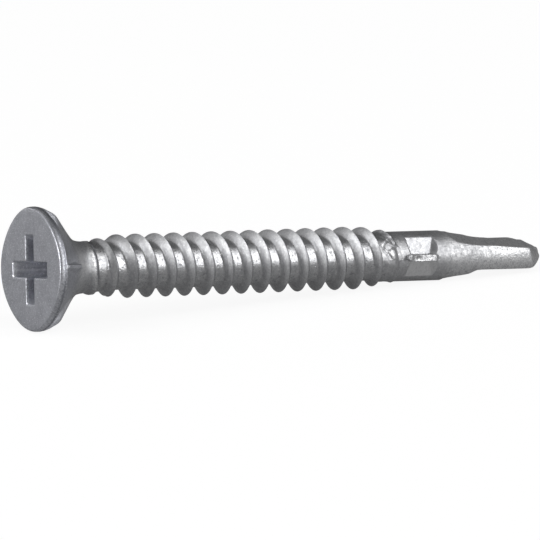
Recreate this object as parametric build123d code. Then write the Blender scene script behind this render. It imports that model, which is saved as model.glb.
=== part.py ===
from build123d import *
import math
import os

os.makedirs("parts", exist_ok=True)

# A winged self drilling screw with a ribbed countersunk head. Sizes are in millimetres, angles in degrees.
# It is drawn standing on its head: the head's face at zero, the drill tip at the far end of +Z, the screw's
# "up" side toward +X and its "front" side toward +Y. A station is a distance along the axis from the face.

# along the screw
SCREW_LENGTH = 43.6
POINT_LENGTH = 9.0                  # drill point, from the plain shank to the chisel edge
SHANK_LENGTH = 4.9                  # plain shank that carries the wings

# head
HEAD_R = 4.5
RIM_CHAMFER = 0.12
RIM_LAND = 0.57                     # straight band round the rim
CONE_HALF_ANGLE = 45.0
NECK_R = 1.9
NECK_LENGTH = 0.5
FAIRING_R = 2.0                     # hollow curve from the cone into the neck

# ribs under the head
RIB_COUNT = 4
RIB_ROLL = -1.0                     # turn about the screw's axis
RIB_RIM_WIDTH = 0.24
RIB_NECK_WIDTH = 0.7                # the sides are drafted, so the rib is widest where it meets the neck
RIB_SHOULDER_RUN = 1.61             # from the rim to the shoulder, along the axis
RIB_SHOULDER_DROP = 0.7             # and toward it
RIB_SHOULDER_ROUND = 0.8
RIB_LENGTH = 2.98
RIB_SINK = 0.05                     # the ridge starts this far inside the rim

# cross recess, size 2
RECESS_ROLL = 2.0
RECESS_SPAN = 5.0
RECESS_ARM = 1.12
RECESS_FLOOR_SPAN = 2.3
RECESS_FLOOR_ARM = 0.84
RECESS_DEPTH = 2.7
PILOT_WIDTH = 0.8
PILOT_TIP_WIDTH = 0.2
PILOT_DEPTH = 0.35

# thread, right-handed
PITCH = 1.6
CREST_R = 2.32
ROOT_R = 1.69
FLANK_HALF_ANGLE = 30.0
CREST_AT_UP = 5.55                  # a crest crosses the up side at this station
RUN_IN_LENGTH = 3.0
RUN_OUT_LENGTH = 3.2
RUN_IN_LAP = 0.2                    # the ridge starts this far after the fairing
RUN_OUT_LAP = 0.9                   # the ridge ends this far into the plain shank
NECK_STEP = 0.7                     # length of the slope from the neck down to the root
SHANK_STEP = 1.2                    # length of the slope from the root up to the plain shank
RIDGE_SINK = 0.14                   # the ridge is rooted this far inside the core
RIDGE_END_SINK = 0.02               # and its crest ends this far under the plain metal

# plain shank and the wings pressed out of it
SHANK_R = 1.85
WING_ROLL = 5.6                     # turn of the wings from the front side, toward the down side
WING_R = 2.6
WING_THICKNESS = 0.5
WING_LENGTH = 2.58
WING_SETBACK = 1.3                  # plain shank left between the wings and the point
WING_CORNER = 0.3
WING_CHAMFER = 0.12                 # along the wing's edges
FLAT_EDGE_ANGLE = 51.0              # where each pressed flat leaves the round shank, seen from its wing
FLAT_ROOT_R = 1.6                   # distance from the axis at which a flat meets its wing
FLAT_OUTER = (0.28, 2.64, 3.06)     # start, floor end and wall top along the outer edge, after WING_START
FLAT_INNER = (0.53, 2.14, 2.9)      # the same along the wing
FLAT_WALL_RISE = 0.33

# drill point
LAND_R = 1.9
LAND_RUN = 0.8                      # length over which the shank grows to the lands
TAPER_LENGTH = 1.5                  # from the lip corners to the chisel edge
LIP_ANGLE = 39.2                    # the front lip's corner lies this far below the front side
PRESS_RUNS = (0.9, 2.0, 3.7)        # stations after the shank at which the pressed sides change slope
PRESS_HEIGHTS = (1.6, 1.5)          # how far from the axis they are at the first two; the third is the lips'
BACK_NORMAL_ANGLE = 60.0            # which way the front land's relieved back faces, above the front side
BACK_START = 1.48                   # its distance from the axis where the lands begin
BACK_END = 1.13                     # and at the tip
FLUTE_START = 2.0                   # the flutes' valleys begin this far after the shank
FLUTE_RUN = 3.0                     # and reach full depth over this length
FLUTE_BOTTOM = (0.36, -0.12)        # deepest line of the upper flute, up and front
FLUTE_CREST = (0.92, 0.75)          # edge between that flute and the front land's back

# how it lies: on the rim of the head and the end of the plain shank, wings level with the ground
REST_ROLL = -11.7

# stations and places that follow
CONE_ANGLE = math.radians(CONE_HALF_ANGLE)
CONE_FOOT = RIM_LAND + (HEAD_R - NECK_R) / math.tan(CONE_ANGLE)
FAIRING_TANGENT = FAIRING_R * math.tan(CONE_ANGLE / 2)
NECK_START = CONE_FOOT + FAIRING_TANGENT
NECK_END = NECK_START + NECK_LENGTH
SHANK_END = SCREW_LENGTH - POINT_LENGTH
SHANK_START = SHANK_END - SHANK_LENGTH
WING_END = SHANK_END - WING_SETBACK
WING_START = WING_END - WING_LENGTH
LAND_START = SHANK_END + LAND_RUN
RIDGE_START = NECK_START + RUN_IN_LAP
RIDGE_END = SHANK_START + RUN_OUT_LAP
RIDGE_END_R = min(NECK_R, SHANK_R) - RIDGE_END_SINK
RIDGE_BASE_R = min(ROOT_R, RIDGE_END_R) - RIDGE_SINK
LIP_UP = LAND_R * math.sin(math.radians(LIP_ANGLE))
LIP_FRONT = LAND_R * math.cos(math.radians(LIP_ANGLE))
REACH = HEAD_R                      # cutting shapes stand out this far from the axis, past all the metal
PAST_TIP = SCREW_LENGTH + REACH
REST_TILT = math.degrees(math.atan2(HEAD_R - SHANK_R, SHANK_END - RIM_LAND))


def prism(points, run):
    """The solid swept by a flat outline of points along the vector run."""
    return Solid.extrude(Face(Wire.make_polygon(points, close=True)), run)


def both_sides(tool):
    """A tool and its twin half a turn round the screw."""
    return [tool, tool.rotate(Axis.Z, 180)]


def core():
    """Everything round: head, neck, thread root, plain shank and the bar that the point is pressed from."""
    cone_end = (NECK_R + FAIRING_TANGENT * math.sin(CONE_ANGLE),
                CONE_FOOT - FAIRING_TANGENT * math.cos(CONE_ANGLE))
    with BuildSketch(Plane.XZ) as profile:
        with BuildLine():
            Polyline((0, 0), (HEAD_R - RIM_CHAMFER, 0), (HEAD_R, RIM_CHAMFER), (HEAD_R, RIM_LAND), cone_end)
            RadiusArc(cone_end, (NECK_R, NECK_START), FAIRING_R)
            Polyline((NECK_R, NECK_START), (NECK_R, NECK_END), (ROOT_R, NECK_END + NECK_STEP),
                     (ROOT_R, SHANK_START - SHANK_STEP), (SHANK_R, SHANK_START), (SHANK_R, SHANK_END),
                     (LAND_R, LAND_START), (LAND_R, SCREW_LENGTH), (0, SCREW_LENGTH), (0, 0))
        make_face()
    return revolve(profile.sketch, Axis.Z).solid()


def helix_edge(start, end, turns):
    """A helical edge that starts on the up side and joins two (station, radius) places."""
    rise = end[0] - start[0]
    cone_angle = math.degrees(math.atan2(end[1] - start[1], rise))
    return Edge.make_helix(pitch=rise / turns, height=rise, radius=start[1], center=(0, 0, start[0]),
                           normal=(0, 0, 1), angle=cone_angle)


def ridge_corners(station, crest_r):
    """The thread ridge's section at one place: head side root, crest and tip side root."""
    half_base = (crest_r - RIDGE_BASE_R) * math.tan(math.radians(FLANK_HALF_ANGLE))
    return [(station - half_base, RIDGE_BASE_R), (station, crest_r), (station + half_base, RIDGE_BASE_R)]


def ridge_turn(start, end):
    """A solid length of thread ridge, no more than one turn, between two (station, crest radius) places."""
    turns = (end[0] - start[0]) / PITCH
    phase = 360 * (start[0] - CREST_AT_UP) / PITCH
    corners = zip(ridge_corners(*start), ridge_corners(*end))
    edges = [helix_edge(a, b, turns).rotate(Axis.Z, phase) for a, b in corners]
    faces = [Face.make_surface_from_curves(edges[i - 1], edges[i]) for i in range(len(edges))]
    for end_of_edge in (0, 1):
        faces.append(Face(Wire.make_polygon([edge @ end_of_edge for edge in edges], close=True)))
    return Solid(Shell(faces))


def thread_ridge():
    """The whole ridge, turn by turn: it grows out of the neck, runs on and sinks into the plain shank."""
    places = [(RIDGE_START, RIDGE_END_R), (RIDGE_START + RUN_IN_LENGTH, CREST_R),
              (RIDGE_END - RUN_OUT_LENGTH, CREST_R), (RIDGE_END, RIDGE_END_R)]
    turns = []
    for (s0, r0), (s1, r1) in zip(places, places[1:]):
        count = math.ceil((s1 - s0) / PITCH)
        steps = [(s0 + (s1 - s0) * i / count, r0 + (r1 - r0) * i / count) for i in range(count + 1)]
        turns += [ridge_turn(a, b) for a, b in zip(steps, steps[1:])]
    return turns


def rib():
    """One rib under the head, on the up side: its back runs from the rim over a shoulder to the neck."""
    shoulder = Vector(HEAD_R - RIB_SHOULDER_DROP, -REACH, RIM_LAND + RIB_SHOULDER_RUN)
    foot = RIM_LAND + RIB_LENGTH
    outline = [Vector(HEAD_R - RIB_SINK, -REACH, RIM_LAND), shoulder, Vector(NECK_R, -REACH, foot),
               Vector(0, -REACH, foot), Vector(0, -REACH, RIM_LAND)]
    side = Face(Wire.make_polygon(outline, close=True))
    corner = side.vertices().sort_by_distance(shoulder)[0]
    back = Solid.extrude(side.fillet_2d(RIB_SHOULDER_ROUND, [corner]), Vector(0, 2 * REACH, 0))
    draft = (RIB_NECK_WIDTH - RIB_RIM_WIDTH) / (HEAD_R - NECK_R)
    half_rim, half_axis = RIB_RIM_WIDTH / 2, (RIB_NECK_WIDTH + draft * NECK_R) / 2
    wedge = [Vector(0, -half_axis, 0), Vector(HEAD_R, -half_rim, 0), Vector(HEAD_R, half_rim, 0),
             Vector(0, half_axis, 0)]
    return back & prism(wedge, Vector(0, 0, foot))


def trapezoid(mouth, floor, station, depth):
    """The four (offset, station) corners of a slot that narrows with depth."""
    end = station + depth
    return [(-mouth / 2, station), (mouth / 2, station), (floor / 2, end), (-floor / 2, end)]


def pit(mouth, floor, station, depth):
    """A four-sided pit that narrows with depth. Its mouth and floor are each a length and a width."""
    along = [Vector(x, -REACH, z) for x, z in trapezoid(mouth[0], floor[0], station, depth)]
    across = [Vector(-REACH, y, z) for y, z in trapezoid(mouth[1], floor[1], station, depth)]
    return prism(along, Vector(0, 2 * REACH, 0)) & prism(across, Vector(2 * REACH, 0, 0))


def recess():
    """The driver's way in: two crossed slots that narrow with depth, and the pilot pit below them."""
    slot = pit((RECESS_SPAN, RECESS_ARM), (RECESS_FLOOR_SPAN, RECESS_FLOOR_ARM), 0, RECESS_DEPTH)
    pilot = pit((PILOT_WIDTH, PILOT_WIDTH), (PILOT_TIP_WIDTH, PILOT_TIP_WIDTH), RECESS_DEPTH, PILOT_DEPTH)
    return (slot + slot.rotate(Axis.Z, 90) + pilot).rotate(Axis.Z, RECESS_ROLL)


def wing_blade():
    """Both wings as one thin blade through the shank, its tips toward the up and down sides."""
    shoulder, tip = WING_R - WING_CORNER, WING_LENGTH / 2 - WING_CORNER
    quarter = [(WING_R, tip), (shoulder, WING_LENGTH / 2)]
    half = quarter + [(-x, z) for x, z in reversed(quarter)]
    outline = half + [(-x, -z) for x, z in half]
    middle = (WING_START + WING_END) / 2
    points = [Vector(x, -WING_THICKNESS / 2, middle + z) for x, z in outline]
    blade = prism(points, Vector(0, WING_THICKNESS, 0))
    cheeks = blade.faces().sort_by(Axis.Y)
    rims = cheeks[0].edges() + cheeks[-1].edges()
    return blade.chamfer(min(WING_CHAMFER, WING_THICKNESS / 3), None, rims)


def flat_tool():
    """What is pressed away on the front side of the wing that points up."""
    angle = math.radians(FLAT_EDGE_ANGLE)
    outer = Vector(SHANK_R * math.cos(angle), SHANK_R * math.sin(angle), 0)
    inner = Vector(FLAT_ROOT_R, WING_THICKNESS / 2, 0)
    across = (inner - outer).normalized()
    rise = Vector(-across.Y, across.X, 0)
    sections = []
    for edge, (start, floor_end, wall_top) in ((outer, FLAT_OUTER), (inner, FLAT_INNER)):
        outline = [(start, 0), (floor_end, 0), (wall_top, FLAT_WALL_RISE), (wall_top, REACH), (start, REACH)]
        points = [edge + rise * math.copysign(height, rise.X) + Vector(0, 0, WING_START + run)
                  for run, height in outline]
        sections.append(Wire.make_polygon(points, close=True))
    return Solid.make_loft(sections, ruled=True)


def press_tool():
    """What the forming dies squeeze away above the point."""
    stations = [SHANK_END] + [SHANK_END + run for run in PRESS_RUNS] + [PAST_TIP]
    heights = [SHANK_R, *PRESS_HEIGHTS, LIP_UP, LIP_UP]
    points = [Vector(height, -REACH, station) for station, height in zip(stations, heights)]
    points += [Vector(REACH, -REACH, PAST_TIP), Vector(REACH, -REACH, SHANK_END)]
    return prism(points, Vector(0, 2 * REACH, 0))


def back_tool():
    """The relief behind the cutting edge of the front land."""
    angle = math.radians(BACK_NORMAL_ANGLE)
    out = Vector(math.sin(angle), math.cos(angle), 0)
    side = Vector(math.cos(angle), -math.sin(angle), 0)
    outline = [(BACK_START, LAND_START), (BACK_END, SCREW_LENGTH), (BACK_END, PAST_TIP), (REACH, PAST_TIP),
               (REACH, LAND_START)]
    points = [out * distance + side * REACH + Vector(0, 0, station) for distance, station in outline]
    return prism(points, side * (-2 * REACH))


def valley_tool():
    """The valley of the upper flute, between the back of the front land and the rear lip's cutting face."""
    bottom = Vector(*FLUTE_BOTTOM, 0)
    rear_lip = Vector(LIP_UP, -LIP_FRONT, 0)
    crest = Vector(*FLUTE_CREST, 0)
    past_lip = rear_lip + (rear_lip - bottom).normalized()
    past_crest = crest + (crest - bottom).normalized()
    outline = [past_lip, bottom, past_crest, Vector(REACH, past_crest.Y, 0), Vector(REACH, past_lip.Y, 0)]
    lowest = PRESS_HEIGHTS[1]
    start = Vector(0, 0, SHANK_END + FLUTE_START)
    full = start + Vector(0, 0, FLUTE_RUN)
    mouth = Wire.make_polygon([Vector(max(p.X, lowest), p.Y, 0) + start for p in outline], close=True)
    section = [p + full for p in outline]
    run_in = Solid.make_loft([mouth, Wire.make_polygon(section, close=True)], ruled=True)
    return run_in + prism(section, Vector(0, 0, PAST_TIP - full.Z))


def end_tool():
    """The slope that falls from the chisel edge to the front lip's corner."""
    slope = TAPER_LENGTH / LIP_FRONT
    points = [Vector(-REACH, 0, SCREW_LENGTH), Vector(-REACH, REACH, SCREW_LENGTH - REACH * slope),
              Vector(-REACH, REACH, PAST_TIP), Vector(-REACH, 0, PAST_TIP)]
    return prism(points, Vector(2 * REACH, 0, 0))


def form_point(screw):
    """Press the drill point: two flat sides, two lands with their backs, two flutes and the end slopes."""
    for tool in (press_tool(), back_tool(), valley_tool(), end_tool()):
        screw = screw.cut(*both_sides(tool)).solid()
    return screw


def form_wings(screw):
    """Squeeze the two wings out of the plain shank."""
    flat = flat_tool()
    flats = both_sides(flat) + both_sides(flat.mirror(Plane.XZ))
    turn = 90 + WING_ROLL
    screw = screw.cut(*[tool.rotate(Axis.Z, turn) for tool in flats])
    return (screw + wing_blade().rotate(Axis.Z, turn)).solid()


def form_head(screw):
    """Raise the ribs under the head and sink the driver's recess into its face."""
    ribs = [rib().rotate(Axis.Z, RIB_ROLL + 360 * i / RIB_COUNT) for i in range(RIB_COUNT)]
    return screw.fuse(*ribs).cut(recess()).solid()


def roll_thread(screw):
    """Add the thread to the shank."""
    return screw.fuse(*thread_ridge()).solid()


def lie_down(screw):
    """Lay the screw along +X on its rim and shank, then centre its box on the origin at ground level."""
    laid = Plane((0, 0, 0), x_dir=(0, 0, 1), z_dir=(1, 0, 0)).location * screw
    laid = laid.rotate(Axis.X, REST_ROLL).rotate(Axis.Y, REST_TILT)
    box = laid.bounding_box()
    centre = box.center()
    return Pos(-centre.X, -centre.Y, -box.min.Z) * laid


screw = roll_thread(form_head(form_wings(form_point(core()))))
export_step(lie_down(screw), "parts/screw.step")
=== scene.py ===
import math

import bpy
import numpy as np
from mathutils import Matrix, Vector


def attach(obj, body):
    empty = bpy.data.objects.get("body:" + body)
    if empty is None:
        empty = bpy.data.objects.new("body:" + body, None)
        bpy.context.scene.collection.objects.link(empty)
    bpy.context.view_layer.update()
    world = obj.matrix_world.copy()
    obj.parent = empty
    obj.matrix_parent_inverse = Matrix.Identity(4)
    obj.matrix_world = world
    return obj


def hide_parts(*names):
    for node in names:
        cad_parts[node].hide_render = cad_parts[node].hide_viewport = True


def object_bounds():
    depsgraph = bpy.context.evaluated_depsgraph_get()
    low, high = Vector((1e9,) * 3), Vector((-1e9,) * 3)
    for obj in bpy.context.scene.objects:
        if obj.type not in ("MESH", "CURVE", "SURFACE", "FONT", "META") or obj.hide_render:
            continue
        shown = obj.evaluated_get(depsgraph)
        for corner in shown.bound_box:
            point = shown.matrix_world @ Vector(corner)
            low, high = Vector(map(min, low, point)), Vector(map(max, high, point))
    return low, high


# A winged self drilling screw with a ribbed countersunk head, coated in matt silver.
# Shapes are worked out in millimetres in the screw's own frame: station is the distance from the face of
# the head along the axis, and angle is counted round the axis from the screw's up side toward its front.

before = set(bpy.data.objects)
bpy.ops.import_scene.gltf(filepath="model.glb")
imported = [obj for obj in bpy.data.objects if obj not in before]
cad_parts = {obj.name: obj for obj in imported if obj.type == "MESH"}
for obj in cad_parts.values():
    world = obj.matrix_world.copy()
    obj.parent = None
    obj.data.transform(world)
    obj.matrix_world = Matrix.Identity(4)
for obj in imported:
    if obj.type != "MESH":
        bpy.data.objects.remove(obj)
CAD_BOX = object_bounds()

COLUMNS = 192                       # mesh columns round the screw
PLANNED_COLUMNS = 192               # the knots below count columns as if there were this many
FAR = 50.0                          # farther out than any of the metal

# how it lies, as the solid does
REST_ROLL = math.radians(-11.7)
REST_TILT = math.radians(4.45278)

# head; a BY_STATION table gives a distance from the axis at each station
FACE_CORNER = 4.38                  # the solid's face ends this far from the axis
FACE_CORNER_RUN = 0.12              # and it is at its widest this far behind its face
HEAD_R = 4.5
RIM_MEAN_R = 4.435
RIM_LOBE = 0.075                    # the rim stands out this much where a rib runs into it
RIM_ROUND = (0.34, 0.17)            # run along the axis and fall of the rim's rounded front
RIM_LAND = 0.57                     # the cone begins at this station
RIB_ROLL = math.radians(-1.0)
FOOT_BY_STATION = ((0.0, 2.5), (2.4, 2.42), (2.8, 2.27), (3.1, 2.14), (3.5, 1.99), (3.9, 1.905),
                   (4.2, 1.86), (4.6, 1.7), (5.0, 1.6))
RIB_BY_STATION = ((0.0, 4.5), (0.6, 4.5), (1.2, 4.37), (1.6, 4.19), (2.1, 3.93), (2.3, 3.74), (2.6, 3.3),
                  (2.93, 2.8), (3.34, 2.22), (3.7, 1.8), (4.2, 1.4), (5.0, 1.0))
NEAR_RIB_LOWER = (0.14, 0.4)        # how much lower the front rib is, and how much more at its foot
RIB_TOP = 0.12                      # half its width along its back
RIB_DRAFT = (0.4, 0.2)              # spread in each millimetre of fall: past the rib and before it

# cross recess
RECESS_ROLL = math.radians(2.0)
RECESS_CENTRE = (-0.04, -0.08)
RECESS_MOUTH = (5.0, 1.12)          # span and width of the arms
RECESS_FLOOR = (2.3, 0.84)
RECESS_DEPTH = 2.7
RECESS_LIP = 0.16                   # how much wider the rounded mouth ends
FACE_RING = 3.1                     # mesh ring round the recess, where the columns are still even
RECESS_WALL_ROWS = 8
RECESS_GROOVES = ((0.2, 0.13, 0.1), (-0.36, 0.16, 0.12))    # up, half width and depth, in the level arms

# thread
PITCH = 1.6
CREST_AT_UP = 5.551                 # station of a crest on the up side
SHANK_R = 1.85
COTANGENT = 1 / math.tan(math.radians(30))
CREST_ROUND = 0.045
ROOT_ROUND = 0.16
THREAD_ROWS = 18                    # mesh rows in one pitch
PLANNED_ROWS = 18
THREAD_START, THREAD_END = 4.66, 30.6
PLAIN_START = 30.65                 # the plain shank begins, just past the thread's last row
CREST_BY_STATION = ((3.9, 1.6), (4.4, 1.85), (4.75, 1.96), (5.55, 2.07), (6.35, 2.19), (7.15, 2.31),
                    (7.6, 2.32), (27.2, 2.32), (27.95, 2.26), (28.75, 2.15), (29.55, 2.01), (30.2, 1.93),
                    (31.0, 1.7))
CORE_BY_STATION = ((3.0, 1.86), (4.5, 1.86), (5.2, 1.83), (5.6, 1.76), (6.1, 1.7), (6.6, 1.69),
                   (28.1, 1.69), (28.9, 1.77), (29.8, 1.84), (30.4, 1.85), (40.0, 1.85))
# how much fuller the turns are on the side of the head, by station
FULLER_BY_STATION = ((4.5, 0.0), (5.2, 0.1), (5.75, 0.2), (6.35, 0.27), (7.0, 0.12), (7.8, 0.0),
                     (40.0, 0.0))
COLLAR_BASE = 1.86
COLLAR_RISE = 0.45                  # the run over which it swells to its top
COLLAR_DROP = 0.3
CREASE_DEPTH = 0.07
RUN_OUT = 29.5                      # where the thread's end is worn most
RUN_OUT_WEAR = 0.02
# the collar that the rolling left on the neck, by degrees round the axis: its top, its end, its radius,
# and how softly it ends
COLLAR = ((0, 4.5, 4.85, 1.905, 0.1), (30, 4.3, 4.48, 1.93, 0.04), (60, 4.2, 4.43, 1.95, 0.03),
          (95, 4.2, 4.46, 1.955, 0.03), (135, 4.5, 4.8, 1.98, 0.1), (180, 4.78, 5.15, 2.01, 0.22),
          (250, 4.7, 5.0, 1.95, 0.2), (360, 4.5, 4.85, 1.905, 0.1))

# scratches where the thread runs out, each a run of (station, degrees)
SCRATCHES = (((29.43, 48), (28.84, 65), (29.43, 94)), ((29.46, 51), (29.97, 72), (30.1, 96)),
             ((29.26, 30), (29.58, 43)), ((29.1, 78), (29.5, 70)), ((28.6, 225), (29.6, 246)),
             ((29.2, 290), (28.9, 318), (29.7, 330)))
SCRATCH_WIDTH = 0.07
SCRATCH_DEPTH, SCRATCH_LIP = 0.045, 0.02

# wings and the flats beside them
WING_ANGLE = math.radians(94.3)
WING_R = 2.6
WING_HALF = 0.25
WING_START, WING_END = 30.72, 33.3
WING_CORNER = 0.3
WING_TAPER = 0.24                   # the bar thins over this run at each of its ends
WING_NICK = (31.35, 0.1, 0.2)       # station, depth and half length of the dent in each wing's edge
FLAT_FACING = math.radians(20.15)   # the way a flat faces, round from its wing
FLAT_DISTANCE = 1.588
FLAT_EDGE = math.radians(51.0)
FLAT_ROOT = math.radians(9.0)
# past WING_START: the flat's start, the end of its floor and the top of its end wall, first at its outer
# edge and then beside the wing
FLAT_OUTER = (0.28, 2.64, 3.06)
FLAT_INNER = (0.53, 2.14, 2.9)
FLAT_WALL_RISE = 0.33

# drill point; the LIP and RIDGE tables say how far up the upper flute's rear lip and its crest are
SHANK_END = 34.6
LAND_R = 1.9
LIP_BY_STATION = ((34.0, 1.95), (34.6, 1.72), (35.0, 1.62), (35.4, 1.575), (36.0, 1.53), (36.35, 1.49),
                  (36.65, 1.43), (36.9, 1.31), (37.1, 1.22), (37.5, 1.19), (41.0, 1.21), (44.0, 1.22))
RIDGE_BY_STATION = ((34.0, 1.95), (34.4, 1.83), (34.75, 1.79), (35.1, 1.76), (35.45, 1.69), (35.8, 1.62),
                    (36.5, 1.51), (37.2, 1.40), (37.9, 1.29), (38.5, 1.20), (39.3, 1.14), (40.4, 1.06),
                    (41.0, 1.02), (44.0, 0.95))
RELIEF_DEGREES = 30.0
RELIEF_FACING = math.radians(RELIEF_DEGREES)
RELIEF_BY_STATION = ((34.6, 1.95), (35.4, 1.62), (36.3, 1.52), (37.3, 1.435), (38.6, 1.405), (40.0, 1.303),
                     (41.0, 1.243), (43.6, 1.10))
FLUTE_START, FLUTE_FULL = 36.6, 39.6
FLUTE_BOTTOM = (0.36, -0.12)        # up and front
LIP_FRONT = -1.47                   # how far to the front the rear lip is, and next the crest
CREST_FRONT = 0.74
TIP = 43.53
SLOPE_START = 41.2                  # the mesh rows that close the point begin here
TIP_SMOOTHINGS = 9
TIP_WEAR = 0.04
# how far the end falls back from the tip, by distance from the axis: along the lips, and at the heels
LIP_DROP = ((0.0, 0.0), (0.38, 0.05), (0.59, 0.22), (0.86, 0.44), (1.13, 0.7), (1.4, 0.97), (1.67, 1.22),
            (1.9, 1.55))
HEEL_DROP = ((0.0, 0.0), (0.2, 0.1), (0.42, 0.4), (0.62, 0.8), (0.9, 1.45), (1.17, 1.9), (1.5, 2.1),
             (1.9, 2.15))
# how much the end follows the lip's drop, by degrees; the rest follows the heel's
LIP_SHARE = ((0, 0.32), (39, 0.0), (129, 1.0), (161, 1.0), (180, 0.67))
LIP_CORNER = 129.2                  # degrees round to the outer corner of the lip
# how far the axis sags, by station
SAG_BY_STATION = ((0.0, 0.0), (6.0, 0.0), (15.0, 0.035), (28.0, 0.045), (31.0, 0.05), (36.0, 0.085),
                  (42.0, 0.12), (44.0, 0.12))

SHARP_ANGLE = math.radians(52)      # edges steeper than this are shaded sharp
MERGE_STEPS = 1e5                   # points that agree to this many steps in a millimetre are one


def smooth_min(a, b, width):
    """The smaller of two, with the corner between them rounded over a difference of width."""
    share = np.clip(0.5 + 0.5 * (b - a) / width, 0, 1)
    return b + (a - b) * share - width * share * (1 - share)


def smooth_max(a, b, width):
    """The larger of two, with the corner between them rounded over a difference of width."""
    return -smooth_min(-a, -b, width)


def ease(x, start, end):
    """0 before start, 1 after end, and an S curve between."""
    share = np.clip((x - start) / (end - start), 0, 1)
    return share * share * (3 - 2 * share)


def bump_share(value, middle, width):
    """1 at the middle, falling to 0 as a bell of this half width."""
    return np.exp(-((value - middle) / width) ** 2)


def along(station, places):
    """A value read off a list of (station, value) places, with straight lines between them."""
    stations, values = np.array(places).T
    return np.interp(station, stations, values)


def flowing(station, places):
    """A value read off a list of (station, value) places, with a smooth curve through them that never
    swings past them: a cubic in each gap, with the harmonic mean of the two slopes at each place."""
    stations, values = np.array(places).T
    run = np.diff(stations)
    slope = np.diff(values) / run
    before, after = slope[:-1], slope[1:]
    same = before * after > 0
    inner = np.where(same, 2 * before * after / np.where(same, before + after, 1), 0)
    slope = np.concatenate([slope[:1], inner, slope[-1:]])
    gap = np.clip(np.searchsorted(stations, station) - 1, 0, len(run) - 1)
    share = np.clip((station - stations[gap]) / run[gap], 0, 1)
    rest = 1 - share
    return ((1 + 2 * share) * rest ** 2 * values[gap] + share * rest ** 2 * run[gap] * slope[gap]
            + (1 + 2 * rest) * share ** 2 * values[gap + 1] - share ** 2 * rest * run[gap] * slope[gap + 1])


def collar_at(angle, *columns):
    """Columns of the COLLAR table at an angle round the axis."""
    degrees = np.degrees(np.mod(angle, 2 * math.pi))
    return [flowing(degrees, [(row[0], row[column]) for row in COLLAR]) for column in columns]


def rim_radius(angle):
    """The rim's distance from the axis: a mean, and a wave that stands out at each of the four ribs."""
    return RIM_MEAN_R + RIM_LOBE * np.cos(4 * (angle - RIB_ROLL))


def round_points(angle, radius, station):
    """Places at an angle, a distance from the axis and a station, as (up, front, station)."""
    return np.stack(np.broadcast_arrays(radius * np.cos(angle), radius * np.sin(angle), station), axis=-1)


def flat_reach(angle, facing, distance):
    """How far from the axis a flat is, seen at an angle: its distance over the cosine of the turn from
    the way it faces, or FAR where the line of sight never meets it."""
    lean = np.cos(angle - facing)
    return np.where(lean > 1e-3, distance / np.maximum(lean, 1e-3), FAR)


# ---- where the columns stand ----

def rib_columns():
    """Columns crowded at the four ribs: equal shares of a weight that peaks at each of them."""
    fine = np.linspace(0, 2 * math.pi, 7201)
    off = np.mod(fine - RIB_ROLL + math.pi / 4, math.pi / 2) - math.pi / 4
    weight = 1 + 3.5 * np.exp(-(off / math.radians(6)) ** 2)
    total = np.concatenate([[0], np.cumsum((weight[1:] + weight[:-1]) / 2)])
    return np.interp(np.arange(COLUMNS) / COLUMNS * total[-1], total, fine)


def knot_columns(knots):
    """Columns shared out between (column, degrees) knots over half a turn, and the same half a turn on."""
    column, degrees = np.array(knots).T
    half = np.interp(np.arange(COLUMNS // 2), column * COLUMNS / PLANNED_COLUMNS, np.radians(degrees))
    return np.concatenate([half, half + math.pi])


def wing_columns():
    """Columns crowded at the wings and at the edges of the flats beside them."""
    wing = math.degrees(WING_ANGLE)
    edge, root, side = math.degrees(FLAT_EDGE), math.degrees(FLAT_ROOT), 5.5
    return knot_columns([(0, 0), (14, wing - edge), (32, wing - root), (42, wing - side), (58, wing + side),
                         (68, wing + root), (86, wing + edge), (96, 180)])


def point_columns(station):
    """Columns that follow the edges of the drill point: valley, crest, back edge and lip corner."""
    bottom, _, crest = flute_corners(station)
    valley = math.degrees(math.atan2(bottom[1], bottom[0]))
    ridge = math.degrees(math.atan2(crest[1], crest[0]))
    edge = math.degrees(math.acos(min(1, along(station, RELIEF_BY_STATION) / LAND_R))) + RELIEF_DEGREES
    return knot_columns([(0, 0), (14, ridge), (28, max(edge, ridge + 5)), (66, LIP_CORNER),
                         (90, 180 + valley), (96, 180)])


def flute_corners(station):
    """Bottom, rear lip and crest of the upper flute at a station, each (up, front). The bottom sinks from
    the pressed side to its full depth between FLUTE_START and FLUTE_FULL."""
    lip, crest = along(station, LIP_BY_STATION), along(station, RIDGE_BY_STATION)
    side = lip + (crest - lip) * (FLUTE_BOTTOM[1] - LIP_FRONT) / (CREST_FRONT - LIP_FRONT)
    depth = np.sin(np.clip((station - FLUTE_START) / (FLUTE_FULL - FLUTE_START), 0, 1) * math.pi / 2)
    return [(side + (FLUTE_BOTTOM[0] - side) * depth, FLUTE_BOTTOM[1]), (lip, LIP_FRONT),
            (crest, CREST_FRONT)]


# each stage is a station and the angles of the columns there
EVEN = np.arange(COLUMNS) * 2 * math.pi / COLUMNS
STAGES = [(3.3, rib_columns()), (4.6, EVEN), (28.0, EVEN), (30.5, wing_columns()), (33.9, wing_columns())]
STAGES += [(station, point_columns(station)) for station in (36.0, 36.8, 37.6, 38.4, 39.6, 41.0, 43.6)]


def column_angles(station):
    """The angle of each column at its station, part way between the two nearest stages."""
    stops = np.array([stop for stop, _ in STAGES])
    tables = np.array([table for _, table in STAGES])
    lower = np.clip(np.searchsorted(stops, station) - 1, 0, len(stops) - 2)
    share = np.clip((station - stops[lower]) / (stops[lower + 1] - stops[lower]), 0, 1)
    column = np.broadcast_to(np.arange(COLUMNS), station.shape)
    return tables[lower, column] * (1 - share) + tables[lower + 1, column] * share


# ---- the outside, as a distance from the axis ----

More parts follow.
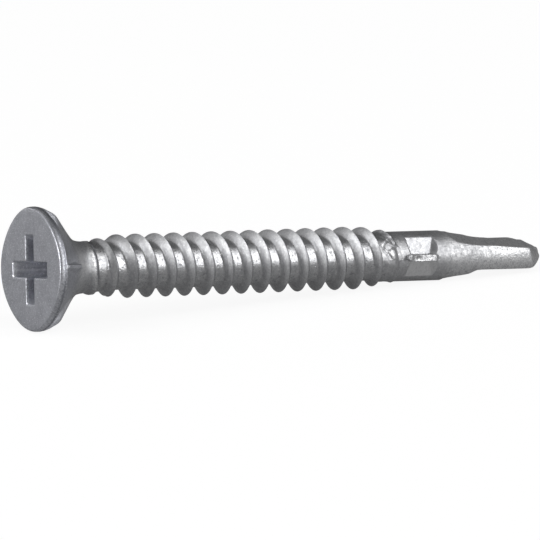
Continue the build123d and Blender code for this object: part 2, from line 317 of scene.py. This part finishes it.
def rib_reach(angle, station):
    """The ribs' outside: their back, lower on the front rib, and sides that spread below it by a draft,
    wider on one side."""
    off = np.mod(angle - RIB_ROLL + math.pi / 4, math.pi / 2) - math.pi / 4
    near = np.abs(angle - math.pi / 2) < math.pi / 4
    lower, foot = NEAR_RIB_LOWER
    sunk = lower * ease(station, 0.6, 1.3) + foot * ease(station, 2.1, 2.8)
    back = flowing(station, RIB_BY_STATION) - near * sunk
    draft = np.where(off > 0, *RIB_DRAFT)
    side = (RIB_TOP + draft * back) / (np.sin(np.abs(off)) + draft * np.cos(off))
    return smooth_min(back / np.cos(off), side, 0.12)


def head_reach(angle, station):
    """The lobed rim, the cone under it, which falls as much as it runs, the longer slope at the cone's
    foot, and the ribs."""
    rim = rim_radius(angle)
    under = smooth_max(rim - (station - RIM_LAND), flowing(station, FOOT_BY_STATION), 0.12)
    under = smooth_max(under, rib_reach(angle, station), 0.16)
    return smooth_min(rim, under, 0.08)


def thread_reach(angle, station):
    """The core, a ridge whose crest climbs one pitch in a turn and whose sides fall from it at 60 degrees
    to each other, and the collar that the rolling left on the neck, with a crease behind it. The first
    turns are fuller on the side of the head, and two crossed waves make the run-out uneven."""
    turns = (station - CREST_AT_UP) / PITCH - angle / (2 * math.pi)
    off = (np.mod(turns + 0.5, 1) - 0.5) * PITCH
    fuller = flowing(station, FULLER_BY_STATION)
    off = off + fuller * ease(-off, 0.0, 0.35)
    fall = (np.sqrt(off ** 2 + CREST_ROUND ** 2) - CREST_ROUND) * COTANGENT
    core, crest = flowing(station, CORE_BY_STATION), flowing(station, CREST_BY_STATION)
    ridge = smooth_max(core, crest - fall, ROOT_ROUND)
    top, end, radius, soft = collar_at(angle, 1, 2, 3, 4)
    collar = COLLAR_BASE + (radius - COLLAR_BASE) * ease(station, top - COLLAR_RISE, top)
    collar = collar - COLLAR_DROP * ease(station, end - soft, end + 0.1)
    crease = CREASE_DEPTH * np.exp(-((station - end - 0.07) / 0.075) ** 2 - (soft / 0.07) ** 2)
    worn = RUN_OUT_WEAR * np.sin(9 * angle + 3 * station) * np.sin(5 * angle - 7 * station)
    worn = worn * bump_share(station, RUN_OUT, 0.8)
    return smooth_max(ridge, collar, 0.02) - crease - scratch_depth(angle, station) + worn


def scratch_depth(angle, station):
    """How deep the run-out is scratched: a bell across the distance to the nearest scratch, with a small
    raised lip beside it."""
    nearest = np.full(np.broadcast(angle, station).shape, FAR)
    across = np.mod(angle, 2 * math.pi) * SHANK_R
    for scratch in SCRATCHES:
        for first, second in zip(scratch, scratch[1:]):
            (x0, y0), (x1, y1) = [(s, math.radians(d) * SHANK_R) for s, d in (first, second)]
            run = (x1 - x0) ** 2 + (y1 - y0) ** 2
            share = np.clip(((station - x0) * (x1 - x0) + (across - y0) * (y1 - y0)) / run, 0, 1)
            away = np.hypot(station - x0 - share * (x1 - x0), across - y0 - share * (y1 - y0))
            nearest = np.minimum(nearest, away)
    return (SCRATCH_DEPTH * bump_share(nearest, 0, SCRATCH_WIDTH)
            - SCRATCH_LIP * bump_share(nearest, 0.15, SCRATCH_WIDTH))


def wing_reach(angle, station):
    """The plain shank with its pressed flats, whose end walls lean, and the wings that stand between
    them: bars with rounded corners and a dent in the edge."""
    off = np.mod(angle - WING_ANGLE + math.pi / 2, math.pi) - math.pi / 2
    share = np.clip((FLAT_EDGE - np.abs(off)) / (FLAT_EDGE - FLAT_ROOT), 0, 1)
    start, floor_end, wall_top = [WING_START + a + (b - a) * share for a, b in zip(FLAT_OUTER, FLAT_INNER)]
    rise = FLAT_WALL_RISE * np.clip((station - floor_end) / (wall_top - floor_end), 0, 3)
    rise = rise + 1.6 * np.clip(start - station, 0, 1)
    flat = (FLAT_DISTANCE + rise) / np.cos(np.abs(off) - FLAT_FACING)
    shank = smooth_min(np.full_like(flat, SHANK_R), flat, 0.03)
    from_end = np.minimum(station - WING_START, WING_END - station)
    edge = smooth_min(np.full_like(flat, WING_R), WING_R - WING_CORNER + np.maximum(from_end, 0), 0.2)
    middle, depth, reach = WING_NICK
    edge = edge - depth * bump_share(station, middle, reach) * bump_share(np.degrees(off), 1, 4)
    rounding = 1 - np.clip(from_end / WING_TAPER, 0, 1)
    half = WING_HALF * np.sqrt(1 - 0.8 * rounding ** 2)
    blade = smooth_min(edge / np.cos(off), half / np.maximum(np.sin(np.abs(off)), 1e-3), 0.4)
    return np.where(from_end > 0, smooth_max(shank, blade, 0.05), shank)


def side_reach(angle, first, second):
    """How far from the axis the flat through two (up, front) places is."""
    run_up, run_front = second[0] - first[0], second[1] - first[1]
    facing = np.arctan2(-run_up, run_front)
    return flat_reach(angle, facing, first[0] * np.cos(facing) + first[1] * np.sin(facing))


def point_reach(angle, station):
    """The drill point: the round lands, cut by the pressed sides, the relieved backs and the flutes."""
    half = np.mod(angle + math.pi / 2, math.pi) - math.pi / 2
    near = np.stack([half, half + math.pi])
    land = SHANK_R + (LAND_R - SHANK_R) * np.clip((station - SHANK_END) / 0.8, 0, 1)
    bottom, lip, crest = flute_corners(station)
    press = np.minimum(side_reach(near, lip, crest).min(axis=0), 4)
    back = np.minimum(flat_reach(near, RELIEF_FACING, along(station, RELIEF_BY_STATION)).min(axis=0), 4)
    face = np.minimum(side_reach(near, lip, bottom), 4)
    wall = np.minimum(side_reach(near, bottom, crest), 4)
    flute = np.where(station > FLUTE_START, smooth_max(face, wall, 0.16).min(axis=0), FAR)
    body = smooth_min(smooth_min(land, press, 0.06), back, 0.04)
    return smooth_min(body, flute, 0.03)


def end_station(angle, radius):
    """How far along the axis the end of the point reaches: it falls away from the chisel edge along the
    lips, and farther behind them, down to the heel of each land."""
    degrees = np.degrees(np.mod(angle, math.pi))
    lip_share = along(degrees, LIP_SHARE) ** 1.3
    return TIP - along(radius, LIP_DROP) * lip_share - along(radius, HEEL_DROP) * (1 - lip_share)


def outside(station):
    """The outside at stations whose rows hold one number for each column."""
    angle = column_angles(station)
    shank = np.where(station < PLAIN_START, thread_reach(angle, station), wing_reach(angle, station))
    radius = np.where(station < SHANK_END, shank, point_reach(angle, station))
    head = smooth_max(head_reach(angle, station), shank, 0.06)
    radius = np.where(station < THREAD_START, head, radius)
    return round_points(angle, radius, station)


# ---- rows, from the bottom of the recess to the tip ----

def rows_at(stations):
    """One level row at each station."""
    return np.repeat(np.asarray(stations, dtype=float)[:, None], COLUMNS, axis=1)


def cross_outline(size, corner):
    """The outline of a cross of a given span and arm width, a quarter of the columns to each arm: along
    half the end of an arm, along its side to the inner corner, and the same mirrored."""
    span, arm = size[0] / 2, size[1] / 2
    quarter = COLUMNS // 4
    knots = np.array([0, 7, 9, 22, 26, 39, 41, 48]) * COLUMNS / PLANNED_COLUMNS
    x = [span, span, span - corner, arm + corner, arm, arm, arm - corner, 0]
    y = [0, arm - corner, arm, arm, arm + corner, span - corner, span, span]
    step = np.arange(quarter)
    x, y = np.interp(step, knots, x), np.interp(step, knots, y)
    turns = [(x, y), (-y, x), (-x, -y), (y, -x)]
    x, y = np.concatenate([t[0] for t in turns]), np.concatenate([t[1] for t in turns])
    up = x * math.cos(RECESS_ROLL) - y * math.sin(RECESS_ROLL) + RECESS_CENTRE[0]
    front = x * math.sin(RECESS_ROLL) + y * math.cos(RECESS_ROLL) + RECESS_CENTRE[1]
    return np.stack([up, front], axis=-1)


def level(outline, station):
    """An outline set at one station."""
    return np.concatenate([outline, np.full((COLUMNS, 1), station)], axis=1)


def recess_rows():
    """The pilot pit, the floor, the drafted walls and the rounded mouth of the recess. The end walls of
    the level arms are pushed outward in a bell across each groove, which fades toward the mouth."""
    centre = np.tile(RECESS_CENTRE, (COLUMNS, 1))
    floor = cross_outline(RECESS_FLOOR, 0.05)
    mouth = cross_outline(RECESS_MOUTH, 0.08)
    rows = [level(centre, RECESS_DEPTH + 0.4), level(centre + (floor - centre) * 0.3, RECESS_DEPTH + 0.1),
            level(floor, RECESS_DEPTH)]
    for share in np.linspace(0.15, 0.96, RECESS_WALL_ROWS):
        wall = floor + (mouth - floor) * share
        groove = sum(depth * bump_share(wall[:, 0], up, half) for up, half, depth in RECESS_GROOVES)
        groove = groove * (np.abs(wall[:, 1]) > 0.7) * (1 - ease(share, 0.75, 0.96))
        wall = wall + np.stack([0 * groove, groove * np.sign(wall[:, 1])], axis=1)
        rows.append(level(wall, RECESS_DEPTH * (1 - share)))
    outer = cross_outline((RECESS_MOUTH[0] + RECESS_LIP, RECESS_MOUTH[1] + RECESS_LIP), 0.06)
    rows.append(level(mouth + (outer - mouth) * 0.25, 0.045))
    rows.append(level(mouth + (outer - mouth) * 0.6, 0.013))
    rows.append(level(outer, 0.0))
    return rows, outer


def face_rows():
    """The face, in straight runs from the recess to a ring round it and on to the rim, so that no run
    crosses another, and the rim's rounded front edge, a quarter of an ellipse."""
    rows, outer = recess_rows()
    angle = rib_columns()
    rim = rim_radius(angle)
    run, fall = RIM_ROUND
    edge = round_points(angle, rim - fall, 0)[:, :2]
    ring = np.array(RECESS_CENTRE) + round_points(EVEN + RECESS_ROLL, FACE_RING, 0)[:, :2]
    for start, end, shares in ((outer, ring, (0.06, 0.3, 1.0)), (ring, edge, (0.4, 0.8, 1.0))):
        rows += [level(start + (end - start) * share, 0.0) for share in shares]
    for turn in np.radians((8, 16, 24, 33, 43, 53, 64, 76)):
        rows.append(round_points(angle, rim - fall * (1 - math.sin(turn)), run * (1 - math.cos(turn))))
    return np.stack(rows)


def head_rows():
    """The rim's land, the cone with its ribs, and the neck with its collar."""
    stations = np.concatenate([np.linspace(0.38, 0.7, 12), np.linspace(0.76, 3.2, 30),
                               np.linspace(3.3, 4.25, 10), np.linspace(4.29, 4.62, 12)])
    return outside(rows_at(stations))


def thread_rows():
    """Rows that run along the thread: each one starts on the ring at THREAD_START, climbs one pitch in a
    turn, and stops on the ring at THREAD_END. More of them stand at the crest and in the root corners. A
    column's angle and its station hang on each other, so they are worked out in three rounds."""
    knots = np.array([0, 2.2, 6.4, 7.6, 8.4, 9, 9.6, 10.4, 11.6, 15.6, 18]) * THREAD_ROWS / PLANNED_ROWS
    places = np.array([-0.5, -0.36, -0.2, -0.09, -0.03, 0, 0.03, 0.09, 0.2, 0.36, 0.5])
    fine = np.interp(np.arange(THREAD_ROWS), knots, places) + 0.5
    turns = math.ceil((THREAD_END - THREAD_START) / PITCH) + 4
    count = np.arange(turns * THREAD_ROWS + 1)
    phase = (count // THREAD_ROWS + fine[count % THREAD_ROWS])[:, None]
    first = math.floor((THREAD_START - CREST_AT_UP) / PITCH - 0.5) - 1
    angle = np.repeat(EVEN[None], len(count), axis=0)
    for _ in range(3):
        station = CREST_AT_UP + PITCH * (first + phase - 0.5 + angle / (2 * math.pi))
        station = np.clip(station, THREAD_START, THREAD_END)
        angle = column_angles(station)
    keep = (station.max(axis=1) > THREAD_START).nonzero()[0]
    begin = max(keep[0] - 1, 0)
    end = (station.min(axis=1) >= THREAD_END).nonzero()[0][0]
    return outside(station[begin:end + 1])


def shank_rows():
    """The plain shank, with two rows close together at each end of the wings."""
    wall = 0.004
    stations = np.concatenate([[30.66, WING_START - wall, WING_START + wall], np.linspace(30.78, 31.3, 10),
                               np.linspace(31.4, 32.8, 12), np.linspace(32.86, WING_END - wall, 8),
                               [WING_END + wall], np.linspace(33.36, 33.84, 9), [34.0, 34.3, 34.55]])
    return outside(rows_at(stations))


def tip_rows():
    """The point up to the end slopes, then the slopes themselves down to the middle of the chisel edge.
    Each column stops where its own line along the point meets the slope, found by going half the way to it
    many times. The edge between them is rounded by averaging each row with its neighbours, again and
    again, and the last rows run straight to the middle."""
    body = np.concatenate([np.linspace(34.65, 36.6, 16), np.linspace(36.7, 39.6, 26),
                           np.linspace(39.75, SLOPE_START, 8)])
    end = np.full((1, COLUMNS), 41.5)
    for _ in range(40):
        angle, radius = column_angles(end), np.hypot(*outside(end).transpose(2, 0, 1)[:2])
        end = 0.5 * end + 0.5 * end_station(angle, radius)
    share = np.array([0.15, 0.35, 0.55, 0.72, 0.85, 0.93, 0.965])[:, None]
    last = outside(SLOPE_START + (end - SLOPE_START) * share)
    corner, angle, radius = outside(end)[0], angle[0], radius[0]
    scale = np.array([0.985, 0.96, 0.9, 0.8, 0.68, 0.55, 0.4, 0.25, 0.12, 0.0])[:, None]
    slope = round_points(angle, radius * scale, end_station(angle, radius * scale))
    end_rows = np.concatenate([last, corner[None], slope])
    for _ in range(TIP_SMOOTHINGS):
        end_rows[1:-1] = (end_rows[:-2] + 2 * end_rows[1:-1] + end_rows[2:]) / 4
        round_about = (np.roll(end_rows, 1, axis=1) + 2 * end_rows + np.roll(end_rows, -1, axis=1)) / 4
        end_rows[5:-1] += 0.35 * (round_about - end_rows)[5:-1]
    end_rows[-1] = end_rows[-4].mean(axis=0) * (1, 1, 0) + (0, 0, TIP - TIP_WEAR)
    for row, share in ((-2, 0.7), (-3, 0.38)):
        end_rows[row] = end_rows[-4] + share * (end_rows[-1] - end_rows[-4])
    return np.concatenate([outside(rows_at(body)), end_rows])


# ---- from rows to a piece ----

# where the finish and the painted shading change, by station; a pair is where a change begins and ends
RIM_SHADING_BAND = 0.43
ROLLED_FROM, ROLLED_TO = (4.4, 4.7), (28, 31)
FLATS_FROM, FLATS_TO = 30.9, 34.1
HEAD_TO, FORGED_FROM = (1.8, 3.3), (33.6, 35.4)

def lay_down(points):
    """From (up, front, station) in millimetres to metres in the shared frame: the axis sags a little, the
    up side is turned by REST_ROLL, the axis is dipped by REST_TILT, and the face's middle is placed from
    the solid's box."""
    turn = Matrix.Rotation(REST_TILT, 3, "Y") @ Matrix.Rotation(REST_ROLL, 3, "X")
    basis = np.array(turn @ Matrix(((0, 0, 1), (0, -1, 0), (1, 0, 0))))
    sagged = points - along(points[:, 2], SAG_BY_STATION)[:, None] * np.array([1, 0, 0])
    return sagged @ basis.T * 0.001 + np.array(face_middle())


def face_middle():
    """The middle of the head's face in the shared frame, from the solid's box and its tilt."""
    low, high = CAD_BOX
    lean, stand = math.sin(REST_TILT), math.cos(REST_TILT)
    return (low[0] + FACE_CORNER * 0.001 * lean, 0.0,
            high[2] - (HEAD_R * stand - FACE_CORNER_RUN * lean) * 0.001)


def skin(blocks, thread_block):
    """One closed skin over all rows. Neighbouring rows are joined column by column, and the last column
    joins the first: of the same row, or inside the thread of the row one pitch on. Rows that run together
    are merged, and faces that are left with no area are dropped."""
    rows = np.concatenate(blocks)
    count = len(rows)
    begin = sum(len(block) for block in blocks[:thread_block])
    end = begin + len(blocks[thread_block]) - 1
    row, column = np.meshgrid(np.arange(count), np.arange(COLUMNS), indexing="ij")
    inside = (row >= begin) & (row <= end) & (column == COLUMNS - 1)
    partner_row = np.where(inside, np.minimum(row + THREAD_ROWS, end), row)
    partner = partner_row * COLUMNS + (column + 1) % COLUMNS
    own = row * COLUMNS + column
    quads = np.stack([own[:-1], partner[:-1], partner[1:], own[1:]], axis=-1).reshape(-1, 4)
    flat = rows.reshape(-1, 3)
    _, first, name = np.unique(np.round(flat * MERGE_STEPS).astype(np.int64), axis=0, return_index=True,
                               return_inverse=True)
    quads = name.reshape(-1)[quads]
    faces = np.concatenate([quads[:, [0, 1, 2]], quads[:, [0, 2, 3]]])
    a, b, c = faces.T
    return flat[first], faces[(a != b) & (b != c) & (a != c)]


def piece(name, points, faces):
    """An object at the origin from points in metres, smooth but for its sharp edges."""
    mesh = bpy.data.meshes.new(name)
    mesh.from_pydata(points.tolist(), [], faces.tolist())
    mesh.update()
    mesh.polygons.foreach_set("use_smooth", np.ones(len(mesh.polygons), dtype=bool))
    mesh.set_sharp_from_angle(angle=SHARP_ANGLE)
    obj = bpy.data.objects.new(name, mesh)
    bpy.context.scene.collection.objects.link(obj)
    return obj


def attribute(obj, name, values):
    """Store a number, or three, at each point of the mesh."""
    several = values.ndim > 1
    layer = obj.data.attributes.new(name, "FLOAT_VECTOR" if several else "FLOAT", "POINT")
    layer.data.foreach_set("vector" if several else "value",
                           np.ascontiguousarray(values, dtype=np.float32).ravel())


def round_place(points):
    """The angle, the distance from the axis and the station of (up, front, station) points."""
    return np.arctan2(points[:, 1], points[:, 0]), np.hypot(points[:, 0], points[:, 1]), points[:, 2]


def rolled_share(points):
    """1 on the rolled core between the turns, 0 on the ridge and elsewhere."""
    _, radius, station = round_place(points)
    core = flowing(station, CORE_BY_STATION)
    rolled = ease(station, *ROLLED_FROM) * (1 - ease(station, *ROLLED_TO))
    return (1 - ease(radius, core + 0.03, core + 0.14)) * rolled


def pressed_share(points):
    """1 on the flats beside the wings, where the shank is less than round."""
    _, radius, station = round_place(points)
    flat = 1 - ease(radius, SHANK_R - 0.03, SHANK_R - 0.005)
    return flat * (station > FLATS_FROM) * (station < FLATS_TO)


def recess_share(points):
    """1 on the walls and floor of the recess, inside a cone that narrows with depth."""
    _, radius, station = round_place(points)
    return ease(station, 0.06, 0.3) * (radius < 2.6 - 0.5 * station)


def painted_shade_share(points):
    """Painted shading: how much darker than the rest the colour is made, and below nought how much lighter,
    as painted light. Darker: the band between the rim's edges, the neck between the cone and the collar,
    the crease behind the collar, and the flat that comes before each wing, counting round. Lighter: the
    cone, the thread's flanks, the recess, and the flat that comes after each wing."""
    angle, radius, station = round_place(points)
    end, soft = collar_at(angle, 2, 4)
    band = bump_share(station, RIM_SHADING_BAND, 0.09) * (radius > 4)
    neck = ease(station, 3.2, 3.6) * (1 - ease(station - end, -0.5, -0.36)) * (radius > 1.7)
    crease = bump_share(station, end + 0.07, 0.14) * (1 - ease(soft, 0.05, 0.12))
    cone = bump_share(station, 1.7, 1.3) * (radius > 1.8)
    flank = ease(radius, 1.75, 1.95) * (station > 5) * (station < 29.5)
    flats = pressed_share(points)
    after = flats * (np.mod(np.degrees(angle - WING_ANGLE), 180) < 90)
    return (band + 0.25 * neck + 1.3 * crease + 0.25 * (flats - after)
            - 0.3 * cone - 0.15 * flank - 0.35 * recess_share(points) - 0.75 * after)


def wear_and_highlight_share(points):
    """Where the coating is worn and a highlight is painted on, lighter and smoother: both edges of the rim,
    the mouth of the recess, the wings, the lips of the point, and the end of the collar."""
    angle, radius, station = round_place(points)
    front = ease(radius, FACE_CORNER - 0.08, FACE_CORNER) * (1 - ease(station, 0.26, 0.38)) * (radius > 4)
    rear = bump_share(station, RIM_LAND, 0.07) * (radius > 4)
    mouth = bump_share(station, 0.05, 0.09) * (radius < 3) * (station > 0.001)
    wing = ease(radius, 2.3, 2.55) * bump_share(station, 32, 1.5)
    lip = bump_share(radius, 1.87, 0.05) * ease(station, 37, 38) * (np.abs(points[:, 1]) > 1.3)
    collar = bump_share(station, collar_at(angle, 2)[0] - 0.2, 0.2) * (radius > 1.7)
    return np.clip(front + rear + 0.8 * mouth + wing + lip + collar, 0, 1)


def make_screw():
    """The whole screw, with its own places in millimetres and the shares that its material uses: finish,
    worn edges with painted highlights, and painted shading.
    """
    blocks = [face_rows(), head_rows(), thread_rows(), shank_rows(), tip_rows()]
    points, faces = skin(blocks, thread_block=2)
    screw = piece("coated_screw", lay_down(points), faces)
    attribute(screw, "own_place", points)
    for name, share in (("rolled", rolled_share), ("wear_and_highlight", wear_and_highlight_share), ("pressed", pressed_share),
                        ("painted_shade", painted_shade_share)):
        attribute(screw, name, share(points))
    return screw


# ---- materials ----

HEAD_DARK, HEAD_LIGHT = (0.315, 0.325, 0.36, 1), (0.78, 0.79, 0.84, 1)
SHANK_DARK, SHANK_LIGHT = (0.325, 0.33, 0.35, 1), (0.83, 0.832, 0.84, 1)
BUMP_STRENGTH, BUMP_HEIGHT = 0.4, 0.00003

class Tone:
    """One output of a shader node. Arithmetic on it adds Math nodes."""

    def __init__(self, nodes, socket):
        self.nodes, self.socket = nodes, socket

    def math(self, operation, *terms):
        """A Math node on these terms."""
        return self.nodes.add("ShaderNodeMath", {"operation": operation}, dict(enumerate(terms)))

    def __add__(self, other):
        return self.math("ADD", self, other)

    def __sub__(self, other):
        return self.math("SUBTRACT", self, other)

    def __rsub__(self, other):
        return self.math("SUBTRACT", other, self)

    def __mul__(self, other):
        return self.math("MULTIPLY", self, other)

    __radd__, __rmul__ = __add__, __mul__

    def step(self, low, high):
        """Smoothly 0 below low and 1 above high."""
        return self.nodes.add("ShaderNodeMapRange", {"interpolation_type": "SMOOTHSTEP"},
                              {"Value": self, "From Min": low, "From Max": high})


class Nodes:
    """The node tree of a material or a world."""

    def __init__(self, owner):
        owner.use_nodes = True
        self.tree = owner.node_tree

    def add(self, kind, settings, sockets, output=0):
        """Add a node: its settings are set first, then each socket gets its value or its link."""
        node = self.tree.nodes.new(kind)
        for name, value in settings.items():
            setattr(node, name, value)
        self.feed(node, sockets)
        outputs = [socket for socket in node.outputs if socket.enabled]
        return Tone(self, node.outputs[output] if isinstance(output, str) else outputs[output])

    def feed(self, node, sockets):
        """Give sockets their values or links, by name among those in use, or by number."""
        for name, value in sockets.items():
            if isinstance(name, str):
                socket = next(each for each in node.inputs if each.name == name and each.enabled)
            else:
                socket = node.inputs[name]
            if isinstance(value, Tone):
                self.tree.links.new(value.socket, socket)
            else:
                socket.default_value = value

    def noise(self, place, scale, detail=2.0, roughness=0.5, stretch=(1, 1, 1)):
        """A noise from 0 to 1 with a mean of a half; scale counts its lumps in a millimetre."""
        where = self.add("ShaderNodeVectorMath", {"operation": "MULTIPLY"}, {0: place, 1: stretch})
        return self.add("ShaderNodeTexNoise", {}, {"Vector": where, "Scale": scale, "Detail": detail,
                                                   "Roughness": roughness})

    def mix(self, share, first, second):
        """A colour from the first to the second, by share."""
        return self.add("ShaderNodeMix", {"data_type": "RGBA"}, {"Factor": share, "A": first, "B": second})


def grey(value):
    """A neutral colour."""
    return (value, value, value, 1)


def coated_steel():
    """Flake coating on rolled steel: a fine grain and glints all over, marks that run round the axis,
    and smoother, pitted metal between the turns of the thread. The tone, the roughness and the height are
    each a sum of those noises about their means and of the shares stored in the mesh."""
    material = bpy.data.materials.new("coated_steel")
    nodes = Nodes(material)
    shader = material.node_tree.nodes["Principled BSDF"]
    place = nodes.add("ShaderNodeAttribute", {"attribute_name": "own_place"}, {}, "Vector")
    # The shares read from the mesh: rolled roots, worn edges with painted highlights on them, pressed
    # flats, and painted shading that darkens and lightens regions.
    rolled, wear_and_highlight, pressed, painted_shade = (
        nodes.add("ShaderNodeAttribute", {"attribute_name": name}, {}, "Fac")
        for name in ("rolled", "wear_and_highlight", "pressed", "painted_shade"))
    station = nodes.add("ShaderNodeSeparateXYZ", {}, {0: place}, "Z")
    head, forged = 1 - station.step(*HEAD_TO), station.step(*FORGED_FROM)
    grain = nodes.noise(place, 6.5, 3, 0.7)
    # Worn edges with painted highlights, broken up by the grain.
    wear_and_highlight = wear_and_highlight * grain.step(0.42, 0.58)
    grit = nodes.noise(place, 13.0, 1)
    cloud = nodes.noise(place, 0.8, 2)
    marks = nodes.noise(place, 5.0, 2, 0.5, (0.16, 0.16, 1))
    mottle = nodes.noise(place, 3.4, 3, 0.65)
    glints = nodes.noise(place, 8.5, 1).step(0.61, 0.7)
    pits = nodes.noise(place, 4.6, 1.5).step(0.6, 0.7) * (0.85 * rolled + 0.25 * forged)
    # The tone: random noises, lighter on the worn edges with their painted highlights, and darker and
    # lighter by the painted shading.
    light = (0.45 + 0.7 * (grain - 0.5) + (0.5 + 0.4 * rolled + 1.1 * forged) * (mottle - 0.5)
             + 0.3 * (cloud - 0.5) + 0.25 * (marks - 0.5) + 0.5 * wear_and_highlight - 0.5 * painted_shade
             + (0.25 + 0.6 * head) * glints - 0.06 * head + 0.06 * rolled + 0.05 * pressed
             + 0.2 * forged - 0.35 * pits)
    bluish = nodes.mix(light, HEAD_DARK, HEAD_LIGHT)
    colour = nodes.mix(head, nodes.mix(light, SHANK_DARK, SHANK_LIGHT), bluish)
    rough = (0.48 + 0.14 * (grit - 0.5) - 0.35 * (mottle - 0.5) - 0.14 * rolled - 0.16 * wear_and_highlight
             - 0.1 * glints + 0.15 * pits - 0.08 * pressed + 0.04 * forged)
    height = (grain + 0.6 * grit + 0.4 * marks + (0.8 + forged) * mottle) * (1 - 0.5 * pressed) - pits
    bump = nodes.add("ShaderNodeBump", {}, {"Height": height, "Strength": BUMP_STRENGTH,
                                            "Distance": BUMP_HEIGHT})
    nodes.feed(shader, {"Base Color": colour, "Roughness": rough, "Normal": bump, "Metallic": 1.0})
    return material


# ---- studio ----

AZIMUTH = math.radians(-30.685)
ELEVATION = math.radians(12.316)
LENS = 500.416
CAMERA_PLACE = (17.233, -0.0471, 539.527)   # across, up and back from the middle of the face, mm
LAMP_DISTANCE = 1.0
FLOOR_HALF = 3
FLOOR_GREY = (0.3, 0.16)            # to the other rays, and to the camera
FLOOR_GLOW = (0.9, 0.09)            # to the camera, and to the metal
WORLD_GREY = 0.09
CAMERA_WORLD = 10.5                 # how much stronger the world is to the camera than to the metal
# name, degrees right of the front and above the floor, size in metres, and strength
LAMPS = (("side_low", (-85, 12), (0.45, 0.4), 5.75), ("side_high", (-90, 36), (0.8, 0.38), 3.1),
         ("front_low", (30, 14), (0.5, 0.45), 2.9), ("front_high", (42, 36), (0.5, 0.5), 2.5),
         ("front_top", (36, 60), (0.5, 0.4), 1.15), ("front_fill", (0, 12), (0.4, 0.4), 1.1),
         ("rear_low", (-150, 10), (0.5, 0.33), 1.3), ("rear_top", (-150, 60), (0.9, 0.9), 0.35))


def make_camera():
    """A long lens, set square on the screw: across, up and back are the camera's own directions."""
    across = Vector((math.cos(AZIMUTH), math.sin(AZIMUTH), 0))
    back = Vector((math.sin(AZIMUTH) * math.cos(ELEVATION), -math.cos(AZIMUTH) * math.cos(ELEVATION),
                   math.sin(ELEVATION)))
    up = back.cross(across)
    data = bpy.data.cameras.new("camera")
    data.sensor_width = 36
    data.lens = LENS
    data.clip_start, data.clip_end = 0.01, 20
    camera = bpy.data.objects.new("camera", data)
    right, above, behind = CAMERA_PLACE
    camera.matrix_world = Matrix((across, up, back)).transposed().to_4x4()
    camera.location = Vector(face_middle()) + (right * across + above * up + behind * back) * 0.001
    bpy.context.scene.collection.objects.link(camera)
    bpy.context.scene.camera = camera


def toward(right, height):
    """The direction that is this many degrees right of the front and this many above the floor."""
    right, height = math.radians(right), math.radians(height)
    return Vector((math.sin(right) * math.cos(height), -math.cos(right) * math.cos(height),
                   math.sin(height)))


def make_lamp(name, direction, size, strength):
    """A soft lamp that faces the screw; strength is how bright its face looks, and 1 is white."""
    data = bpy.data.lights.new(name, "AREA")
    data.shape = "RECTANGLE"
    data.size, data.size_y = size
    data.energy = strength * size[0] * size[1] * math.pi
    lamp = bpy.data.objects.new(name, data)
    lamp.matrix_world = direction.to_track_quat("Z", "Y").to_matrix().to_4x4()
    lamp.location = direction * LAMP_DISTANCE
    bpy.context.scene.collection.objects.link(lamp)


def make_floor():
    """A plain pale floor that is near white to the camera and keeps a faint shadow; the metal sees it
    darker, through the glossy rays."""
    mesh = bpy.data.meshes.new("floor")
    corners = [(x * FLOOR_HALF, y * FLOOR_HALF, 0) for x, y in ((-1, -1), (1, -1), (1, 1), (-1, 1))]
    mesh.from_pydata(corners, [], [(0, 1, 2, 3)])
    floor = bpy.data.objects.new("floor", mesh)
    material = bpy.data.materials.new("pale_floor")
    nodes = Nodes(material)
    shader = material.node_tree.nodes["Principled BSDF"]
    camera, glossy, through = (nodes.add("ShaderNodeLightPath", {}, {}, "Is %s Ray" % ray)
                               for ray in ("Camera", "Glossy", "Transmission"))
    bright, dim = FLOOR_GLOW
    nodes.feed(shader, {"Base Color": nodes.mix(camera, *map(grey, FLOOR_GREY)), "Roughness": 1.0,
                        "Specular IOR Level": 0.0, "Emission Color": grey(1.0),
                        "Emission Strength": bright * (camera + through) + dim * glossy})
    mesh.materials.append(material)
    bpy.context.scene.collection.objects.link(floor)


def make_world():
    """A dim even world, which is white to the camera alone."""
    world = bpy.data.worlds.new("studio")
    bpy.context.scene.world = world
    nodes = Nodes(world)
    camera = nodes.add("ShaderNodeLightPath", {}, {}, "Is Camera Ray")
    strength = 1.0 + CAMERA_WORLD * camera
    nodes.feed(world.node_tree.nodes["Background"], {"Color": grey(WORLD_GREY), "Strength": strength})


screw = make_screw()
screw.data.materials.append(coated_steel())
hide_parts("screw")
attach(screw, "root")
make_floor()
make_world()
for name, facing, size, strength in LAMPS:
    make_lamp(name, toward(*facing), size, strength)
make_camera()
bpy.context.scene.view_settings.view_transform = "Standard"
